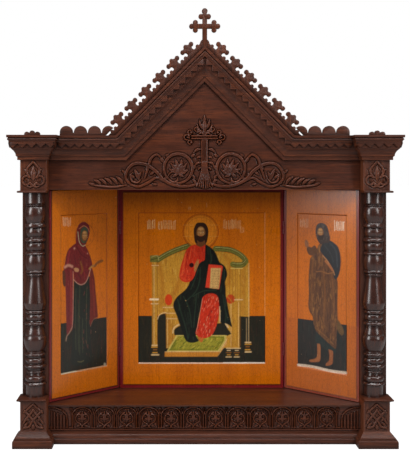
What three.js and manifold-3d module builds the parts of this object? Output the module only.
// Triptych altarpiece: a carved wooden case with two column towers and a gable, a fixed painted
// panel at the back of its niche and two painted wings that turn on hinges at the panel's edges.
//
// Millimetres, +Z up. The front faces -Y and X runs to the viewer's right. The pieces are drawn
// from the plane of the tower block fronts, where Y is 0, and the whole group is then moved so
// that the origin is the middle of the footprint, at the floor.

import * as THREE from "three";
import { mergeVertices } from "three/addons/utils/BufferGeometryUtils.js";
import Module from "manifold-3d";

const wasm = await Module();
wasm.setup();

// Sizes of the case
const caseDepth = 224.5; // tower block fronts to the back of the case
const sideBoard = 20;
const backBoard = 10;
const topBoard = 12;
const frontBoard = 14; // thickness of the arcade board and of the gable board
const towerWidth = 66;
const towerDepth = 46; // tower block fronts to the back of the posts
const jointGap = 0.3; // between pieces that are cut to meet at a slope

// Heights from the floor up through a tower
const plinthHeight = 38;
const pedestalHeight = 74.5;
const capHeight = 8;
const columnHeight = 515.5;
const abacusHeight = 5;
const capitalHeight = 77;
const corniceHeight = 62;
const postThickness = 11;
const columnFacets = 14;

// How far the mouldings stand out
const plinthReach = 17;
const capReach = 8;
const abacusReach = 7;
const corniceReach = 29;
const baseMouldingReach = 15;
const baseMouldingHeight = 28;

// Sill of the niche
const sillTop = 96.5;
const sillThickness = 12;
const sillLip = 4;

// Gable
const friezeHeight = 75;
const levelCorniceLength = 198; // from a tower to the foot of the slope
const gableSlope = Math.PI / 4;

// Teeth under the cornices
const toothPitch = 21.5;
const toothDrop = 10.5;
const toothThickness = 5;
const toothRoot = 41; // above the underside of the cornice
const toothBandTop = 44;
const toothFace = 25; // how far their face stands out

// Cut-out rails along the top
const crestThickness = 10;
const crestSetback = 16; // behind the block fronts
const crestStrip = 13.8;
const crocketPitch = 50;
const crocketFirst = 35; // from the apex of the moulding
const crocketLobe = 5.3;
const crocketSpread = 15.5; // from the middle of a crocket to its outer lobes
const crocketTip = 39.4;
const crocketWeb = 4.4; // how deep the notches between its lobes are
const crocketEnd = 32; // at least this far from the foot of the slope
const crocketNeck = 20;
const bumpRadius = 4.6;
const bumpTop = 18.2;
const bumpOffset = 20; // from a crocket to the first of its two bumps
const topBumpOffset = 22.5; // from the top crocket to the bump above it
const moundRadius = 12; // round the foot of the cross
const moundRise = 5.2; // from the edge of the moulding to its middle
const bumpSpacing = 12;
const scallopStrip = 9;
const scallopRadius = 16.5;
const scallopPitch = 35.5;
const scallopTop = 24.5;
const scallopEndGap = 2; // from the tower cornice to the end of the rail
const stubWidth = 40;
const stubHeight = 13;
const stubSink = 3; // the outer lobes are lower than the middle one
const stubOffset = 6; // outward from the middle of the tower

// Cross on the apex, with its heights above the apex of the moulding
const crossTop = 97;
const crossBar = 51.5;
const crossHalfSpan = 39.5;
const crossShaft = 12;
const crossLobe = 6.6;
const crossPair = 9.3; // from the middle of an end to its two side lobes
const crossNeck = 14.2; // from the top lobe down to the two beside it

// Fixed panel and wings
const panelHalfWidth = 223.5;
const panelThickness = 24;
const panelHeadGap = 2; // under the gable board
const panelBackGap = 2;
const recessDepth = 2.5;
const recessSlope = 3;
const recessHalfWidth = 171.5;
const recessBottom = 68.5; // above the foot of the panel
const recessTop = 67; // below the head of the panel
const hingeSideGap = 1; // from the hinge axis to the edge of the panel and of the wing
const hingeFaceGap = 0.5; // from the hinge axis back to the painted faces
const wingThickness = 15;
const wingMeetingGap = 5; // between the closed wings
const wingFootGap = 1.5;
const wingHeadGap = 1;
const wingTipGap = 1.2; // between the open wing and the plane behind the posts
const wingFieldStart = 44; // from the hinge axis to the recess
const wingFieldEnd = 36; // from the recess to the free edge

// Hinges
const knuckleRadius = 2.5;
const knuckleSides = 6;
const hingeHeight = 34;
const hingeInset = 106; // from the panel's foot and head to the middle of a hinge
const leafThickness = 1.8;
const leafDepth = 15;

// Carving
const carvingRise = 5;
const arcadeArches = 12;
const arcadeEnd = 58; // plain board between the arcade and a tower
const archHalfWidth = 24.5;
const archRise = 19;
const archFoot = 11; // above the foot of the arcade board
const archCrown = 3; // below the head of the arcade board

// Heights that follow from the sizes
const pedestalTop = plinthHeight + pedestalHeight;
const columnFoot = pedestalTop + capHeight;
const columnTop = columnFoot + columnHeight;
const capitalFoot = columnTop + abacusHeight;
const corniceFoot = capitalFoot + capitalHeight;
const corniceTop = corniceFoot + corniceHeight;
const friezeBottom = corniceFoot - friezeHeight;
const panelTop = friezeBottom - panelHeadGap;
const wingFoot = sillTop + wingFootGap;
const wingHead = panelTop - wingHeadGap;

// Depths that follow
const faceSetback = towerDepth - frontBoard;
const postFace = towerDepth - postThickness;
const backFace = caseDepth - backBoard;
const panelFace = backFace - panelBackGap - panelThickness;
const hingeY = panelFace - hingeFaceGap;

// Widths that follow: a wing reaches from its hinge to the middle, and stands open with its free
// edge just behind the post. The towers stand at the next whole millimetre outside that edge.
const hingeX = panelHalfWidth + hingeSideGap;
const wingReach = hingeX - wingMeetingGap / 2;
const wingAngle = Math.asin((hingeY - towerDepth - wingTipGap) / wingReach);
const towerInner = Math.ceil(hingeX + wingReach * Math.cos(wingAngle));
const towerMiddle = towerInner + towerWidth / 2;
const caseHalfWidth = towerInner + towerWidth;
const sideInner = caseHalfWidth - sideBoard;
const gableHalfWidth = towerInner - levelCorniceLength;

// Slope of the gable
const mitre = Math.tan(gableSlope / 2);
const slopeLength = gableHalfWidth / Math.cos(gableSlope);
const gableApex = corniceFoot + gableHalfWidth * Math.tan(gableSlope);
const gableOuterApex = gableApex + corniceHeight / Math.cos(gableSlope);
const slopeOuterLength = slopeLength + corniceHeight * (1 - mitre);

// Colours of the finish
const darkWood = new THREE.MeshStandardMaterial({ color: 0x4b2d22, roughness: 0.42, metalness: 0 });
const boardWood = new THREE.MeshStandardMaterial({ color: 0x573627, roughness: 0.55, metalness: 0 });
const turnedWood = new THREE.MeshStandardMaterial({ color: 0x47291f, roughness: 0.3, metalness: 0 });
const paintedWood = new THREE.MeshStandardMaterial({ color: 0xb9600a, roughness: 0.4, metalness: 0 });
const paintedIron = new THREE.MeshStandardMaterial({ color: 0x6b2022, roughness: 0.5, metalness: 0.2 });

// A closed solid from a three.js geometry, with shared corners merged and flat slivers dropped.
function toSolid(geometry) {
  const bare = geometry.clone();
  bare.deleteAttribute("normal");
  bare.deleteAttribute("uv");
  const merged = mergeVertices(bare, 1e-4);
  const corners = Array.from(merged.index.array);
  const kept = [];
  for (let i = 0; i < corners.length; i += 3) {
    const [a, b, c] = corners.slice(i, i + 3);
    if (a !== b && b !== c && c !== a) kept.push(a, b, c);
  }
  const mesh = new wasm.Mesh({
    numProp: 3,
    vertProperties: new Float32Array(merged.attributes.position.array),
    triVerts: new Uint32Array(kept),
  });
  return new wasm.Manifold(mesh);
}

function toGeometry(solid) {
  const mesh = solid.getMesh();
  const geometry = new THREE.BufferGeometry();
  geometry.setAttribute("position", new THREE.BufferAttribute(mesh.vertProperties, 3));
  geometry.setIndex(new THREE.BufferAttribute(mesh.triVerts, 1));
  geometry.computeVertexNormals();
  return geometry;
}

function joined(solids) {
  return solids.reduce((whole, solid) => whole.add(solid));
}

function box(x0, x1, y0, y1, z0, z1) {
  const geometry = new THREE.BoxGeometry(Math.abs(x1 - x0), Math.abs(y1 - y0), Math.abs(z1 - z0));
  geometry.translate((x0 + x1) / 2, (y0 + y1) / 2, (z0 + z1) / 2);
  return toSolid(geometry);
}

// A flat shape drawn across (X) and up (Z), with its back in the plane y and its face nearer the viewer.
function faceGeometry(shape, y, thickness) {
  const settings = { depth: thickness, bevelEnabled: false };
  return new THREE.ExtrudeGeometry(shape, settings).rotateX(Math.PI / 2).translate(0, y, 0);
}

function facePiece(shape, y, thickness) {
  return toSolid(faceGeometry(shape, y, thickness));
}

function outline(points) {
  return new THREE.Shape(points.map(([x, z]) => new THREE.Vector2(x, z)));
}

// A straight moulding from x0 to x1. Its profile is [how far out, how far up] from the line y, z.
function barGeometry(profile, x0, x1, y, z) {
  const settings = { depth: x1 - x0, bevelEnabled: false };
  const turn = new THREE.Matrix4().makeBasis(
    new THREE.Vector3(0, -1, 0),
    new THREE.Vector3(0, 0, 1),
    new THREE.Vector3(-1, 0, 0),
  );
  return new THREE.ExtrudeGeometry(outline(profile), settings).applyMatrix4(turn).translate(x1, y, z);
}

// A moulding that runs round a rectangular block: a lathe of four sides whose corners are moved out
// to the corners of the block.
function mouldedGeometry(profile, x0, x1, y0, y1) {
  const inset = 1;
  const points = profile.map(([out, up]) => new THREE.Vector2((out + inset) * Math.SQRT2, up));
  points.unshift(new THREE.Vector2(0, profile[0][1]));
  points.push(new THREE.Vector2(0, profile.at(-1)[1]));
  const geometry = new THREE.LatheGeometry(points, 4, Math.PI / 4).rotateX(Math.PI / 2);
  const position = geometry.attributes.position;
  const moved = (value, low, high) => {
    const middle = (low + high) / 2;
    if (Math.abs(value) < inset / 2) return middle;
    const reach = (high - low) / 2 - inset + Math.abs(value);
    return Math.round((middle + Math.sign(value) * reach) * 1000) / 1000;
  };
  for (let i = 0; i < position.count; i += 1) {
    const x = moved(position.getX(i), x0, x1);
    const y = moved(position.getY(i), y0, y1);
    position.setXYZ(i, x, y, position.getZ(i));
  }
  return geometry;
}

// What is left of a solid on one side of a plane through the point, which faces the given way.
function cutBeyond(solid, point, facing) {
  const reach = 6000;
  const geometry = new THREE.BoxGeometry(reach, reach, reach).translate(0, 0, reach / 2);
  const turn = new THREE.Quaternion().setFromUnitVectors(
    new THREE.Vector3(0, 0, 1),
    new THREE.Vector3(...facing).normalize(),
  );
  geometry.applyQuaternion(turn).translate(...point);
  return solid.subtract(toSolid(geometry));
}

// Turns a bar or shape that is drawn level, with the corner where the slope begins as its origin, up
// the slope of the gable.
function upSlope(geometry, side) {
  return geometry.rotateY(side * gableSlope).translate(side * gableHalfWidth, 0, corniceFoot);
}

// A flat shape drawn from front to back (Y) and up (Z), between two planes x0 and x1.
function sidePiece(shape, x0, x1) {
  const settings = { depth: Math.abs(x1 - x0), bevelEnabled: false };
  const turn = new THREE.Matrix4().makeBasis(
    new THREE.Vector3(0, 1, 0),
    new THREE.Vector3(0, 0, 1),
    new THREE.Vector3(1, 0, 0),
  );
  const geometry = new THREE.ExtrudeGeometry(shape, settings).applyMatrix4(turn);
  return toSolid(geometry.translate(Math.min(x0, x1), 0, 0));
}

// Carving: every stroke is drawn on the face of its board as [across, up] points, and its underside
// is sunk a little into the board that it grows from.
const sunk = 1;

// A ridge with a sharp crest along a line of points, standing out from the plane y.
function ridge(points, y, halfWidth, rise, steps) {
  const path = new THREE.CatmullRomCurve3(points.map(([x, z]) => new THREE.Vector3(x, z, 0)));
  const flank = halfWidth * (1 + sunk / rise);
  const section = outline([[sunk, -flank], [-rise, 0], [sunk, flank]]);
  const settings = { steps, bevelEnabled: false, extrudePath: path };
  return toSolid(new THREE.ExtrudeGeometry(section, settings).rotateX(Math.PI / 2).translate(0, y, 0));
}

// A leaf from its root to its tip: a stretched octahedron that is half sunk in the board.
function leaf(root, tip, width, y, rise) {
  const along = new THREE.Vector3(tip[0] - root[0], 0, tip[1] - root[1]).multiplyScalar(0.5);
  const out = new THREE.Vector3(0, -rise, 0);
  const aside = new THREE.Vector3().crossVectors(along, out).setLength(width / 2);
  const turn = new THREE.Matrix4().makeBasis(along, out, aside);
  const geometry = new THREE.OctahedronGeometry(1).applyMatrix4(turn);
  return toSolid(geometry.translate((root[0] + tip[0]) / 2, y + sunk / 3, (root[1] + tip[1]) / 2));
}

// Points on part of an ellipse, from one angle to the other.
function arcPoints(x, z, radiusX, radiusZ, from, to, count) {
  return Array.from({ length: count + 1 }, (_, i) => {
    const angle = THREE.MathUtils.degToRad(from + ((to - from) * i) / count);
    return [x + radiusX * Math.cos(angle), z + radiusZ * Math.sin(angle)];
  });
}

const altarpiece = new THREE.Group();

function place(name, solid, material, parent = altarpiece) {
  const mesh = new THREE.Mesh(toGeometry(solid), material);
  mesh.name = name;
  parent.add(mesh);
}

// Profiles of the mouldings, as [out, up] points

const corniceProfile = [
  [0, 0], [6, 0], [6, 8], [8, 9], [10, 16], [14, 23], [20, 29], [20, 43], [22, 44], [22, 48],
  [26, 49], [27.5, 51.5], [26, 54], [24.5, 55], [corniceReach, 56], [corniceReach, corniceHeight],
];
const plinthProfile = [
  [16, 0], [plinthReach, 2], [plinthReach, 16], [15.5, 20], [12, 21.5], [12.5, 23.5], [10.5, 25],
  [6, 30], [1, 37], [0, plinthHeight],
];
const capProfile = [[0, 0], [3, 1.5], [6.5, 3], [capReach, 4.5], [capReach, 6], [4, capHeight]];
const abacusProfile = [[4, 0], [abacusReach, 1], [abacusReach, 3.5], [5, abacusHeight]];
const baseProfile = [
  [0, 0], [14, 0], [baseMouldingReach, 1.5], [baseMouldingReach, 13], [13, 14.5], [13.5, 17],
  [12, 21], [8.5, 25], [3, 27.5], [0, baseMouldingHeight],
];

// The turned column, from its foot up: [height, radius] as first drawn
const columnProfile = [
  [0, 24.5], [28.5, 24.5], [32, 28], [45, 23], [58.5, 18.5], [62.5, 22.5], [70, 19.5], [76, 27.5],
  [83.5, 24], [101.5, 20.5], [106, 26.5], [113.5, 21], [128, 27], [147, 29], [168, 24], [181, 20.5],
  [185, 27.5], [193, 27], [196, 23.5], [209, 18.5], [215.5, 24], [222.5, 21], [232, 28],
  [239, 28.5], [270, 23.5], [304, 19.5], [307.5, 22.5], [311.5, 20], [315, 25], [338, 25],
  [357, 22], [361.5, 24.5], [366, 20.5], [390, 20], [395, 26.5], [403, 20.5], [414, 24],
  [427, 21.5], [430, 26.5], [436, 25.5], [442.5, 21], [452, 24.5], [468, 26.5], [480, 25],
  [483.5, 21.5], [489, 26], [515.5, 26],
];

// Towers

function halfColumn(side) {
  const scale = columnHeight / columnProfile.at(-1)[0];
  const points = columnProfile.map(([height, radius]) => new THREE.Vector2(radius, height * scale));
  points.unshift(new THREE.Vector2(0, 0));
  points.push(new THREE.Vector2(0, columnHeight));
  const geometry = new THREE.LatheGeometry(points, columnFacets).rotateX(Math.PI / 2);
  const whole = toSolid(geometry.translate(side * towerMiddle, postFace, columnFoot));
  const x0 = side * towerMiddle - towerWidth;
  const x1 = side * towerMiddle + towerWidth;
  return whole.subtract(box(x0, x1, postFace, postFace + towerWidth, columnFoot - 1, columnTop + 1));
}

// A moulding round the front and both sides of a tower. It is cut off flat at its back, and on the
// inner side where it meets the boards between the towers.
function towerMoulding(side, profile, z, height, grow = 0) {
  const x0 = Math.min(side * towerInner, side * caseHalfWidth) - grow;
  const x1 = Math.max(side * towerInner, side * caseHalfWidth) + grow;
  const y1 = 2 * towerDepth;
  const round = mouldedGeometry(profile, x0, x1, -grow, y1).translate(0, 0, z);
  const behind = box(x0 - y1, x1 + y1, towerDepth, 2 * y1, z - 1, z + height + 1);
  const between = box(0, side * towerInner, faceSetback + grow, 2 * y1, z - 1, z + height + 1);
  return toSolid(round).subtract(behind).subtract(between);
}

// The same, cut off flush with the inner side of the tower.
function outerMoulding(side, profile, z, height) {
  const inside = box(0, side * towerInner, -towerDepth, 2 * towerDepth, z - 1, z + height + 1);
  return towerMoulding(side, profile, z, height).subtract(inside);
}

// The outline of a strip with pointed teeth along its lower edge.
function toothedOutline(from, to, z) {
  const count = Math.max(1, Math.round((to - from) / toothPitch));
  const step = (to - from) / count;
  const points = [[to, z + toothBandTop], [from, z + toothBandTop], [from, z + toothRoot]];
  for (let i = 0; i < count; i += 1) {
    points.push([from + (i + 0.5) * step, z + toothRoot - toothDrop]);
    points.push([from + (i + 1) * step, z + toothRoot]);
  }
  return outline(points);
}

function towerCornice(side) {
  const halfFront = towerWidth / 2 + toothFace;
  const middle = side * towerMiddle;
  const core = towerMoulding(side, corniceProfile, corniceFoot, corniceHeight);
  const frontTeeth = toothedOutline(middle - halfFront, middle + halfFront, corniceFoot);
  const front = facePiece(frontTeeth, toothThickness - toothFace, toothThickness);
  const outerX = side * (caseHalfWidth + toothFace);
  const outerTeeth = toothedOutline(-toothFace, towerDepth, corniceFoot);
  const outer = sidePiece(outerTeeth, outerX, outerX - side * toothThickness);
  const innerX = side * (towerInner - toothFace);
  const innerTeeth = toothedOutline(-toothFace, faceSetback - toothFace, corniceFoot);
  const inner = sidePiece(innerTeeth, innerX, innerX + side * toothThickness);
  return joined([core, front, outer, inner]);
}

// The carved knot on a capital: a pointed arch over two loops, with a leaf between them.
function capitalBlock(side) {
  const x = side * towerMiddle;
  const block = box(side * towerInner, side * caseHalfWidth, 0, towerDepth, capitalFoot, corniceFoot);
  const at = (across, up) => [x + across, capitalFoot + up];
  const strokes = [-1, 1].flatMap((hand) => {
    const loop = arcPoints(hand * 17, 26, 10, 11, hand > 0 ? -150 : -30, hand > 0 ? 130 : -310, 7);
    const arch = [[hand * 8, 34], [hand * 16, 47], [hand * 11, 60], [0, 72]];
    return [
      ridge(loop.map(([across, up]) => at(across, up)), 0, 2.6, 3.5, 6),
      ridge(arch.map(([across, up]) => at(across, up)), 0, 2.6, 3.5, 4),
      leaf(at(0, 8), at(hand * 9, 24), 7, 0, 3),
    ];
  });
  return joined([block, ...strokes, leaf(at(0, 26), at(0, 62), 14, 0, 4)]);
}

// The carved knot on a pedestal: crossed straps under a pointed arch.
function pedestalBlock(side) {
  const x = side * towerMiddle;
  const block = box(side * towerInner, side * caseHalfWidth, 0, towerDepth, plinthHeight, pedestalTop);
  const at = (across, up) => [x + across, plinthHeight + up];
  const strokes = [-1, 1].flatMap((hand) => {
    const strap = [[hand * 23, 10], [hand * 10, 14], [hand * 3, 26], [-hand * 10, 40], [-hand * 21, 52]];
    const gable = [[hand * 23, 48], [hand * 12, 58], [0, 68]];
    const bend = [[hand * 24, 22], [hand * 16, 34], [hand * 6, 46], [0, 54]];
    return [strap, gable, bend].map((line) => {
      return ridge(line.map(([across, up]) => at(across, up)), 0, 2.5, 3.2, line.length - 1);
    });
  });
  return joined([block, ...strokes, leaf(at(0, 4), at(0, 20), 9, 0, 3)]);
}

// What is left of the crest on each tower: three low lobes on a strip.
function crestStub(side) {
  const x = side * (towerMiddle + stubOffset);
  const lobe = stubWidth / 6;
  const lobes = [1, 0, -1].flatMap((step) => {
    const height = corniceTop + stubHeight - lobe - (step === 0 ? 0 : stubSink);
    return arcPoints(x + step * 2 * lobe, height, lobe, lobe, 0, 180, 4);
  });
  const ends = [[x - stubWidth / 2, corniceTop], [x + stubWidth / 2, corniceTop]];
  return facePiece(outline([...ends, ...lobes]), crestSetback + crestThickness, crestThickness);
}

function tower(side, name) {
  const x0 = side * towerInner;
  const x1 = side * caseHalfWidth;
  const plinth = towerMoulding(side, plinthProfile, 0, plinthHeight);
  place(`${name}_plinth`, plinth, boardWood);
  place(`${name}_pedestal_block`, pedestalBlock(side), darkWood);
  place(`${name}_pedestal_cap`, outerMoulding(side, capProfile, pedestalTop, capHeight), boardWood);
  place(`${name}_post`, box(x0, x1, postFace, towerDepth, columnFoot, columnTop), boardWood);
  place(`${name}_column`, halfColumn(side), turnedWood);
  place(`${name}_abacus`, outerMoulding(side, abacusProfile, columnTop, abacusHeight), darkWood);
  place(`${name}_capital_block`, capitalBlock(side), darkWood);
  place(`${name}_tower_cornice`, towerCornice(side), darkWood);
  place(`${name}_crest_stub`, crestStub(side), boardWood);
}

// Base and arcade

function baseMoulding() {
  const bar = toSolid(barGeometry(baseProfile, -towerInner, towerInner, faceSetback, 0));
  const tail = box(-towerInner, towerInner, faceSetback, towerDepth, 0, baseMouldingHeight);
  const plinths = [-1, 1].map((side) => {
    return towerMoulding(side, plinthProfile, 0, plinthHeight, jointGap);
  });
  return joined([bar, tail]).subtract(plinths[0]).subtract(plinths[1]);
}

// One arch on two thin shafts, round an upright leaf between four smaller ones.
function archCarving(x, z) {
  const springing = sillTop - sillLip - z - archCrown - archRise;
  const line = [
    [x - archHalfWidth, z + archFoot],
    ...arcPoints(x, z + springing, archHalfWidth, archRise, 180, 0, 6),
    [x + archHalfWidth, z + archFoot],
  ];
  const middle = z + springing;
  return [
    ridge(line, faceSetback, 2.2, 3.5, 8),
    leaf([x, z + archFoot], [x, middle + archRise * 0.7], 11, faceSetback, 4),
    leaf([x - 2, middle - 22], [x - 18, middle + 8], 9, faceSetback, 3.5),
    leaf([x + 2, middle - 22], [x + 18, middle + 8], 9, faceSetback, 3.5),
  ];
}

function arcadePanel() {
  const foot = baseMouldingHeight;
  const board = box(-towerInner, towerInner, faceSetback, towerDepth, foot, sillTop - sillLip);
  const arcadeHalfWidth = towerInner - arcadeEnd;
  const pitch = (2 * arcadeHalfWidth) / arcadeArches;
  const arches = Array.from({ length: arcadeArches }, (_, i) => {
    return archCarving(-arcadeHalfWidth + (i + 0.5) * pitch, foot);
  });
  return joined([board, ...arches.flat()]);
}

function sillBoard() {
  const front = faceSetback - sillLip;
  const lip = box(-towerInner, towerInner, front, 2 * towerDepth, sillTop - sillLip, sillTop);
  const board = box(-sideInner, sideInner, towerDepth, backFace, sillTop - sillThickness, sillTop);
  return lip.add(board);
}

// Gable

// Carving on the gable, as [across, above the foot of the board]. On one side of the cross: a big ring
// round a flower, a smaller loop round a bud, an S-shaped stem under both, a curling shoot and a long
// leaf at the end.
function scrollCarving(side) {
  const y = faceSetback;
  const on = (points) => points.map(([across, up]) => [side * across, friezeBottom + up]);
  const flower = [67, 54];
  const stem = [
    [14, 17], [40, 9], [74, 11], [104, 25], [124, 47], [150, 64], [178, 66], [196, 50], [200, 29],
    [186, 12],
  ];
  const bigRing = arcPoints(flower[0], flower[1], 36, 37, -50, 275, 10);
  const shoot = [[152, 29], [143, 57], [136, 79], [122, 89], [110, 81]];
  const wave = [[196, 17], [168, 8], [142, 19], [122, 30], [104, 21]];
  const tailStem = [[196, 12], [230, 7], [262, 9], [290, 13]];
  const petals = [[-20, -14], [-20, 8], [-4, 22], [14, 18], [22, -2], [8, -20]];
  const tailLeaves = [208, 222, 236, 250, 264];
  const blade = (root, tip, width) => leaf(...on([root, tip]), width, y, 4);
  return [
    ridge(on(stem), y, 4, carvingRise, 11),
    ridge(on(bigRing), y, 4, carvingRise, 10),
    ridge(on(shoot), y, 3.5, carvingRise, 5),
    ridge(on(wave), y, 3.5, carvingRise, 4),
    ridge(on(tailStem), y, 3, carvingRise, 3),
    ...petals.map(([across, up]) => blade(flower, [flower[0] + across, flower[1] + up], 9)),
    ...tailLeaves.map((across, i) => blade([across, 13], [across + 20, 33 - 2 * i], 8)),
    blade([166, 25], [176, 51], 12),
    blade([112, 83], [104, 69], 9),
  ];
}

// The cross of leaves in the middle of the gable.
function crossCarving() {
  const y = faceSetback;
  const on = (side, points) => points.map(([across, up]) => [side * across, friezeBottom + up]);
  const blade = (side, root, tip, width) => leaf(...on(side, [root, tip]), width, y, carvingRise);
  const strokes = [
    ridge(on(1, [[0, 9], [0, 57], [0, 122]]), y, 7, carvingRise, 2),
    ridge(on(1, [[-30, 133], [0, 133], [30, 133]]), y, 6, carvingRise, 2),
    blade(1, [0, 127], [0, 181], 13),
  ];
  for (const side of [-1, 1]) {
    strokes.push(blade(side, [4, 139], [20, 171], 11));
    strokes.push(blade(side, [26, 135], [46, 147], 11));
    strokes.push(blade(side, [26, 131], [42, 113], 11));
    strokes.push(blade(side, [6, 81], [24, 101], 10));
    strokes.push(blade(side, [6, 47], [22, 63], 9));
    strokes.push(blade(side, [3, 33], [22, 7], 10));
  }
  return strokes;
}

function gableBoard() {
  const top = corniceTop;
  const topHalf = gableOuterApex - top;
  const shape = outline([
    [-towerInner, friezeBottom], [towerInner, friezeBottom], [towerInner, top], [topHalf, top],
    [0, gableOuterApex], [-topHalf, top], [-towerInner, top],
  ]);
  const board = facePiece(shape, towerDepth, towerDepth - faceSetback);
  return joined([board, ...crossCarving(), ...scrollCarving(-1), ...scrollCarving(1)]);
}

// The level cornice from the foot of the slope to the tower.
function levelCornice(side) {
  const y = faceSetback;
  const [x0, x1] = side > 0 ? [gableHalfWidth, towerInner] : [-towerInner, -gableHalfWidth];
  const profile = [...corniceProfile, [0, corniceHeight]];
  const core = toSolid(barGeometry(profile, x0, x1, y, corniceFoot));
  const behind = y + toothThickness - toothFace;
  const teeth = facePiece(toothedOutline(x0, x1, corniceFoot), behind, toothThickness);
  const corner = [side * (gableHalfWidth + jointGap / 2), 0, corniceFoot];
  const whole = cutBeyond(core.add(teeth), corner, [-side, 0, mitre]);
  const cornice = towerMoulding(side, corniceProfile, corniceFoot, corniceHeight, jointGap);
  const reach = toothFace + jointGap;
  const clear = box(
    side * (towerInner - reach), side * towerInner, -reach, faceSetback + 1 - toothFace,
    corniceFoot + toothRoot - toothDrop, corniceFoot + toothBandTop,
  );
  return whole.subtract(cornice).subtract(clear);
}

// The sloping cornice from its foot to the apex, where it meets the other side.
function slopingCornice(side) {
  const y = faceSetback;
  const length = slopeLength + corniceHeight;
  const [x0, x1] = side > 0 ? [-length, 0] : [0, length];
  const profile = [...corniceProfile, [0, corniceHeight]];
  const core = toSolid(upSlope(barGeometry(profile, x0, x1, y, 0), side));
  const strip = faceGeometry(toothedOutline(x0, x1, 0), y + toothThickness - toothFace, toothThickness);
  const whole = core.add(toSolid(upSlope(strip, side)));
  const foot = [side * (gableHalfWidth - jointGap / 2), 0, corniceFoot];
  const atFoot = cutBeyond(whole, foot, [side, 0, -mitre]);
  return cutBeyond(atFoot, [side * (jointGap / 2), 0, corniceTop], [-side, 0, 0]);
}

// The cut-out rail of leaves and bumps along the slope, drawn from the foot of the slope up. It ends in
// half of a round mound at the foot of the cross.
function crocketRail(side) {
  const apex = slopeLength + corniceHeight;
  const low = corniceHeight + jointGap;
  const strip = corniceHeight + crestStrip;
  const edge = [[0, low], [0, strip]];
  const last = Math.floor((slopeOuterLength - crocketFirst - crocketEnd) / crocketPitch);
  for (let i = last; i >= 0; i -= 1) {
    const middle = apex - crocketFirst - i * crocketPitch;
    for (const offset of [bumpOffset + bumpSpacing, bumpOffset]) {
      const height = corniceHeight + bumpTop - bumpRadius;
      edge.push(...arcPoints(middle - offset, height, bumpRadius, bumpRadius, 180, 0, 3));
    }
    const crown = corniceHeight + crocketTip - crocketLobe;
    const shoulder = crown - crocketLobe * 0.85;
    const web = [crocketSpread / 2, crown + crocketLobe - crocketWeb - bumpRadius / 2];
    edge.push([middle - crocketNeck / 2, strip]);
    edge.push(...arcPoints(middle - crocketSpread, shoulder, crocketLobe, crocketLobe, -60, -310, 3));
    edge.push([middle - web[0], web[1]]);
    edge.push(...arcPoints(middle, crown, crocketLobe, crocketLobe, 160, 20, 2));
    edge.push([middle + web[0], web[1]]);
    edge.push(...arcPoints(middle + crocketSpread, shoulder, crocketLobe, crocketLobe, 130, -120, 3));
    edge.push([middle + crocketNeck / 2, strip]);
  }
  const topBump = apex - crocketFirst + topBumpOffset;
  edge.push(...arcPoints(topBump, corniceHeight + bumpTop - bumpRadius, bumpRadius, bumpRadius, 180, 0, 2));
  edge.push(...arcPoints(apex + moundRise, corniceHeight + moundRise, moundRadius, moundRadius, 125, 72, 1));
  edge.push([apex + crestStrip, low]);
  const shape = outline(edge.map(([along, up]) => [-side * along, up]));
  const flat = faceGeometry(shape, crestSetback + crestThickness, crestThickness);
  const rail = toSolid(upSlope(flat, side));
  const atFoot = cutBeyond(rail, [0, 0, corniceTop + jointGap], [0, 0, -1]);
  return cutBeyond(atFoot, [side * (crossShaft / 2 + jointGap), 0, 0], [-side, 0, 0]);
}

// The scalloped rail on the level cornice. The scallop next to the gable is cut off by its slope, and
// is left out where less than half of it would stand.
function scallopedRail(side) {
  const slopeTop = gableOuterApex + (bumpTop + jointGap) / Math.cos(gableSlope);
  const slopeFoot = slopeTop - corniceTop;
  const outerEnd = towerInner - corniceReach - scallopEndGap;
  const firstMiddle = outerEnd - scallopRadius;
  const centre = corniceTop + scallopTop - scallopRadius;
  const count = Math.floor((firstMiddle - slopeFoot + scallopRadius / 2) / scallopPitch) + 1;
  const edge = [[outerEnd - count * scallopPitch, corniceTop], [outerEnd, corniceTop]];
  for (let i = 0; i < count; i += 1) {
    const middle = firstMiddle - i * scallopPitch;
    edge.push(...arcPoints(middle, centre, scallopRadius, scallopRadius, 7, 173, 5));
    edge.push([middle - scallopPitch / 2, corniceTop + scallopStrip]);
  }
  const shape = outline(edge.map(([across, up]) => [side * across, up]));
  const rail = facePiece(shape, crestSetback + crestThickness, crestThickness);
  return cutBeyond(rail, [0, 0, slopeTop], [-side, 0, -1]);
}

// The cross on the apex, with three lobes at each of its three free ends and a foot on the ridge.
function finialCross() {
  const y = crestSetback + crestThickness;
  const half = crossShaft / 2;
  const ridgeTop = gableOuterApex + jointGap;
  const crown = gableOuterApex + crossTop - crossLobe;
  const bar = gableOuterApex + crossBar;
  const reach = crossHalfSpan - crossLobe;
  const lobe = ([x, z]) => {
    const turn = x === 0 ? 30 : 0;
    const round = outline(arcPoints(x, z, crossLobe, crossLobe, turn, turn + 300, 5));
    return facePiece(round, y, crestThickness);
  };
  const notch = [[-half, ridgeTop - half], [0, ridgeTop], [half, ridgeTop - half]];
  const shaft = outline([...notch, [half, crown], [-half, crown]]);
  const arms = outline([
    [-reach, bar - half], [reach, bar - half], [reach, bar + half], [-reach, bar + half],
  ]);
  const ends = [[0, crown]];
  for (const side of [-1, 1]) {
    ends.push([side * crossPair, crown - crossNeck], [side * reach, bar]);
    ends.push([side * (reach - crossPair), bar + crossPair], [side * (reach - crossPair), bar - crossPair]);
  }
  const bars = [shaft, arms].map((shape) => facePiece(shape, y, crestThickness));
  return joined([...bars, ...ends.map(lobe)]);
}

// Case

function sideBoardOf(side) {
  return box(side * sideInner, side * caseHalfWidth, towerDepth, backFace, 0, corniceTop);
}

function backBoardOf() {
  return box(-caseHalfWidth, caseHalfWidth, backFace, caseDepth, 0, corniceTop);
}

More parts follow.
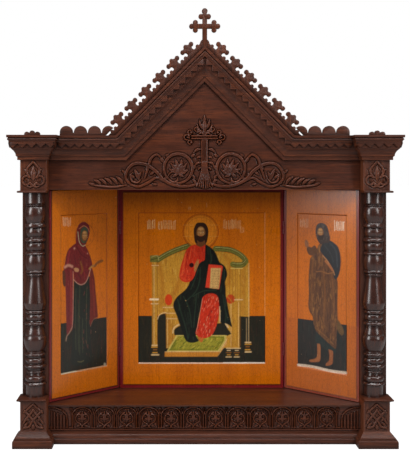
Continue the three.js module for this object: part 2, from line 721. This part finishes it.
function topBoardOf() {
  return box(-sideInner, sideInner, towerDepth, backFace, corniceTop - topBoard, corniceTop);
}

// Painted panels

// The sunk field of a panel between two places across and up, with sloping sides, to be cut from a
// face that looks along -Y in the plane y.
function recess(x0, x1, z0, z1, y) {
  const flare = recessSlope * 2;
  const profile = [[0, -recessDepth], [flare, recessDepth]];
  const block = mouldedGeometry(profile, x0, x1, z0, z1);
  return toSolid(block.rotateX(Math.PI / 2).translate(0, y, 0));
}

// The notch that takes a hinge, from the edge of a board inward. It is drawn in the frame of the
// hinge axis, with the board on the side that hand gives and its face at the hinge's face gap.
function hingeNotch(hand, z) {
  const half = hingeHeight / 2 + jointGap;
  const inner = hingeSideGap + leafThickness + 2 * jointGap;
  const open = 2 * knuckleRadius;
  return box(-hand * open, hand * inner, -open, leafDepth + jointGap, z - half, z + half);
}

function hingePlaces() {
  return [sillTop + hingeInset, panelTop - hingeInset];
}

// A knuckle of the barrel round the hinge axis.
function knuckle(z0, z1) {
  const barrel = new THREE.CylinderGeometry(knuckleRadius, knuckleRadius, z1 - z0, knuckleSides);
  return toSolid(barrel.rotateX(Math.PI / 2).translate(0, 0, (z0 + z1) / 2));
}

// One half of a hinge: its knuckles and the leaf that is let into the edge of the board.
function hingeHalf(hand, z, spans) {
  const half = hingeHeight / 2;
  const near = hand * (hingeSideGap + jointGap);
  const far = hand * (hingeSideGap + jointGap + leafThickness);
  const clear = knuckleRadius + jointGap;
  const parts = [box(near, far, clear, leafDepth, z - half, z + half)];
  for (const [from, to] of spans) {
    parts.push(knuckle(z + from, z + to));
    parts.push(box(near, far, 0, clear + 1, z + from, z + to));
  }
  return joined(parts);
}

function centrePanel() {
  let panel = box(-panelHalfWidth, panelHalfWidth, panelFace, backFace - panelBackGap, sillTop, panelTop);
  const low = sillTop + recessBottom;
  const high = panelTop - recessTop;
  panel = panel.subtract(recess(-recessHalfWidth, recessHalfWidth, low, high, panelFace));
  for (const side of [-1, 1]) {
    for (const z of hingePlaces()) {
      panel = panel.subtract(hingeNotch(-side, z).translate([side * hingeX, hingeY, 0]));
    }
  }
  return panel;
}

// A wing in the frame of its hinge axis, as it would lie flat beside the panel.
function wing(side) {
  const face = hingeFaceGap;
  const start = side * hingeSideGap;
  let board = box(start, side * wingReach, face, face + wingThickness, wingFoot, wingHead);
  const field = [side * wingFieldStart, side * (wingReach - wingFieldEnd)].sort((a, b) => a - b);
  const low = sillTop + recessBottom;
  const high = panelTop - recessTop;
  board = board.subtract(recess(field[0], field[1], low, high, face));
  for (const z of hingePlaces()) board = board.subtract(hingeNotch(side, z));
  return board;
}

function wingWithHinges(side, name) {
  const third = hingeHeight / 6;
  const outer = [[-3 * third, -third - jointGap / 2], [third + jointGap / 2, 3 * third]];
  const middle = [[-third + jointGap / 2, third - jointGap / 2]];
  const turned = new THREE.Group();
  turned.position.set(side * hingeX, hingeY, 0);
  turned.rotation.z = -side * wingAngle;
  place(`${name}_wing`, wing(side), paintedWood, turned);
  hingePlaces().forEach((z, i) => {
    const level = i === 0 ? "lower" : "upper";
    const fixed = hingeHalf(-side, z, outer).translate([side * hingeX, hingeY, 0]);
    place(`${name}_${level}_hinge_fixed_half`, fixed, paintedIron);
    place(`${name}_${level}_hinge_moving_half`, hingeHalf(side, z, middle), paintedIron, turned);
  });
  altarpiece.add(turned);
}

place("base_moulding", baseMoulding(), boardWood);
place("arcade_panel", arcadePanel(), darkWood);
place("sill_board", sillBoard(), boardWood);
place("back_board", backBoardOf(), boardWood);
place("top_board", topBoardOf(), boardWood);
place("gable_board", gableBoard(), darkWood);
place("finial_cross", finialCross(), boardWood);
place("centre_panel", centrePanel(), paintedWood);
for (const [side, name] of [[-1, "left"], [1, "right"]]) {
  place(`${name}_side_board`, sideBoardOf(side), boardWood);
  tower(side, name);
  place(`${name}_level_cornice`, levelCornice(side), darkWood);
  place(`${name}_sloping_cornice`, slopingCornice(side), darkWood);
  place(`${name}_crocket_rail`, crocketRail(side), boardWood);
  place(`${name}_scalloped_rail`, scallopedRail(side), boardWood);
  wingWithHinges(side, name);
}

// The footprint runs from the front of the tower cornices to the back board.
altarpiece.position.y = (corniceReach - caseDepth) / 2;

export default altarpiece;
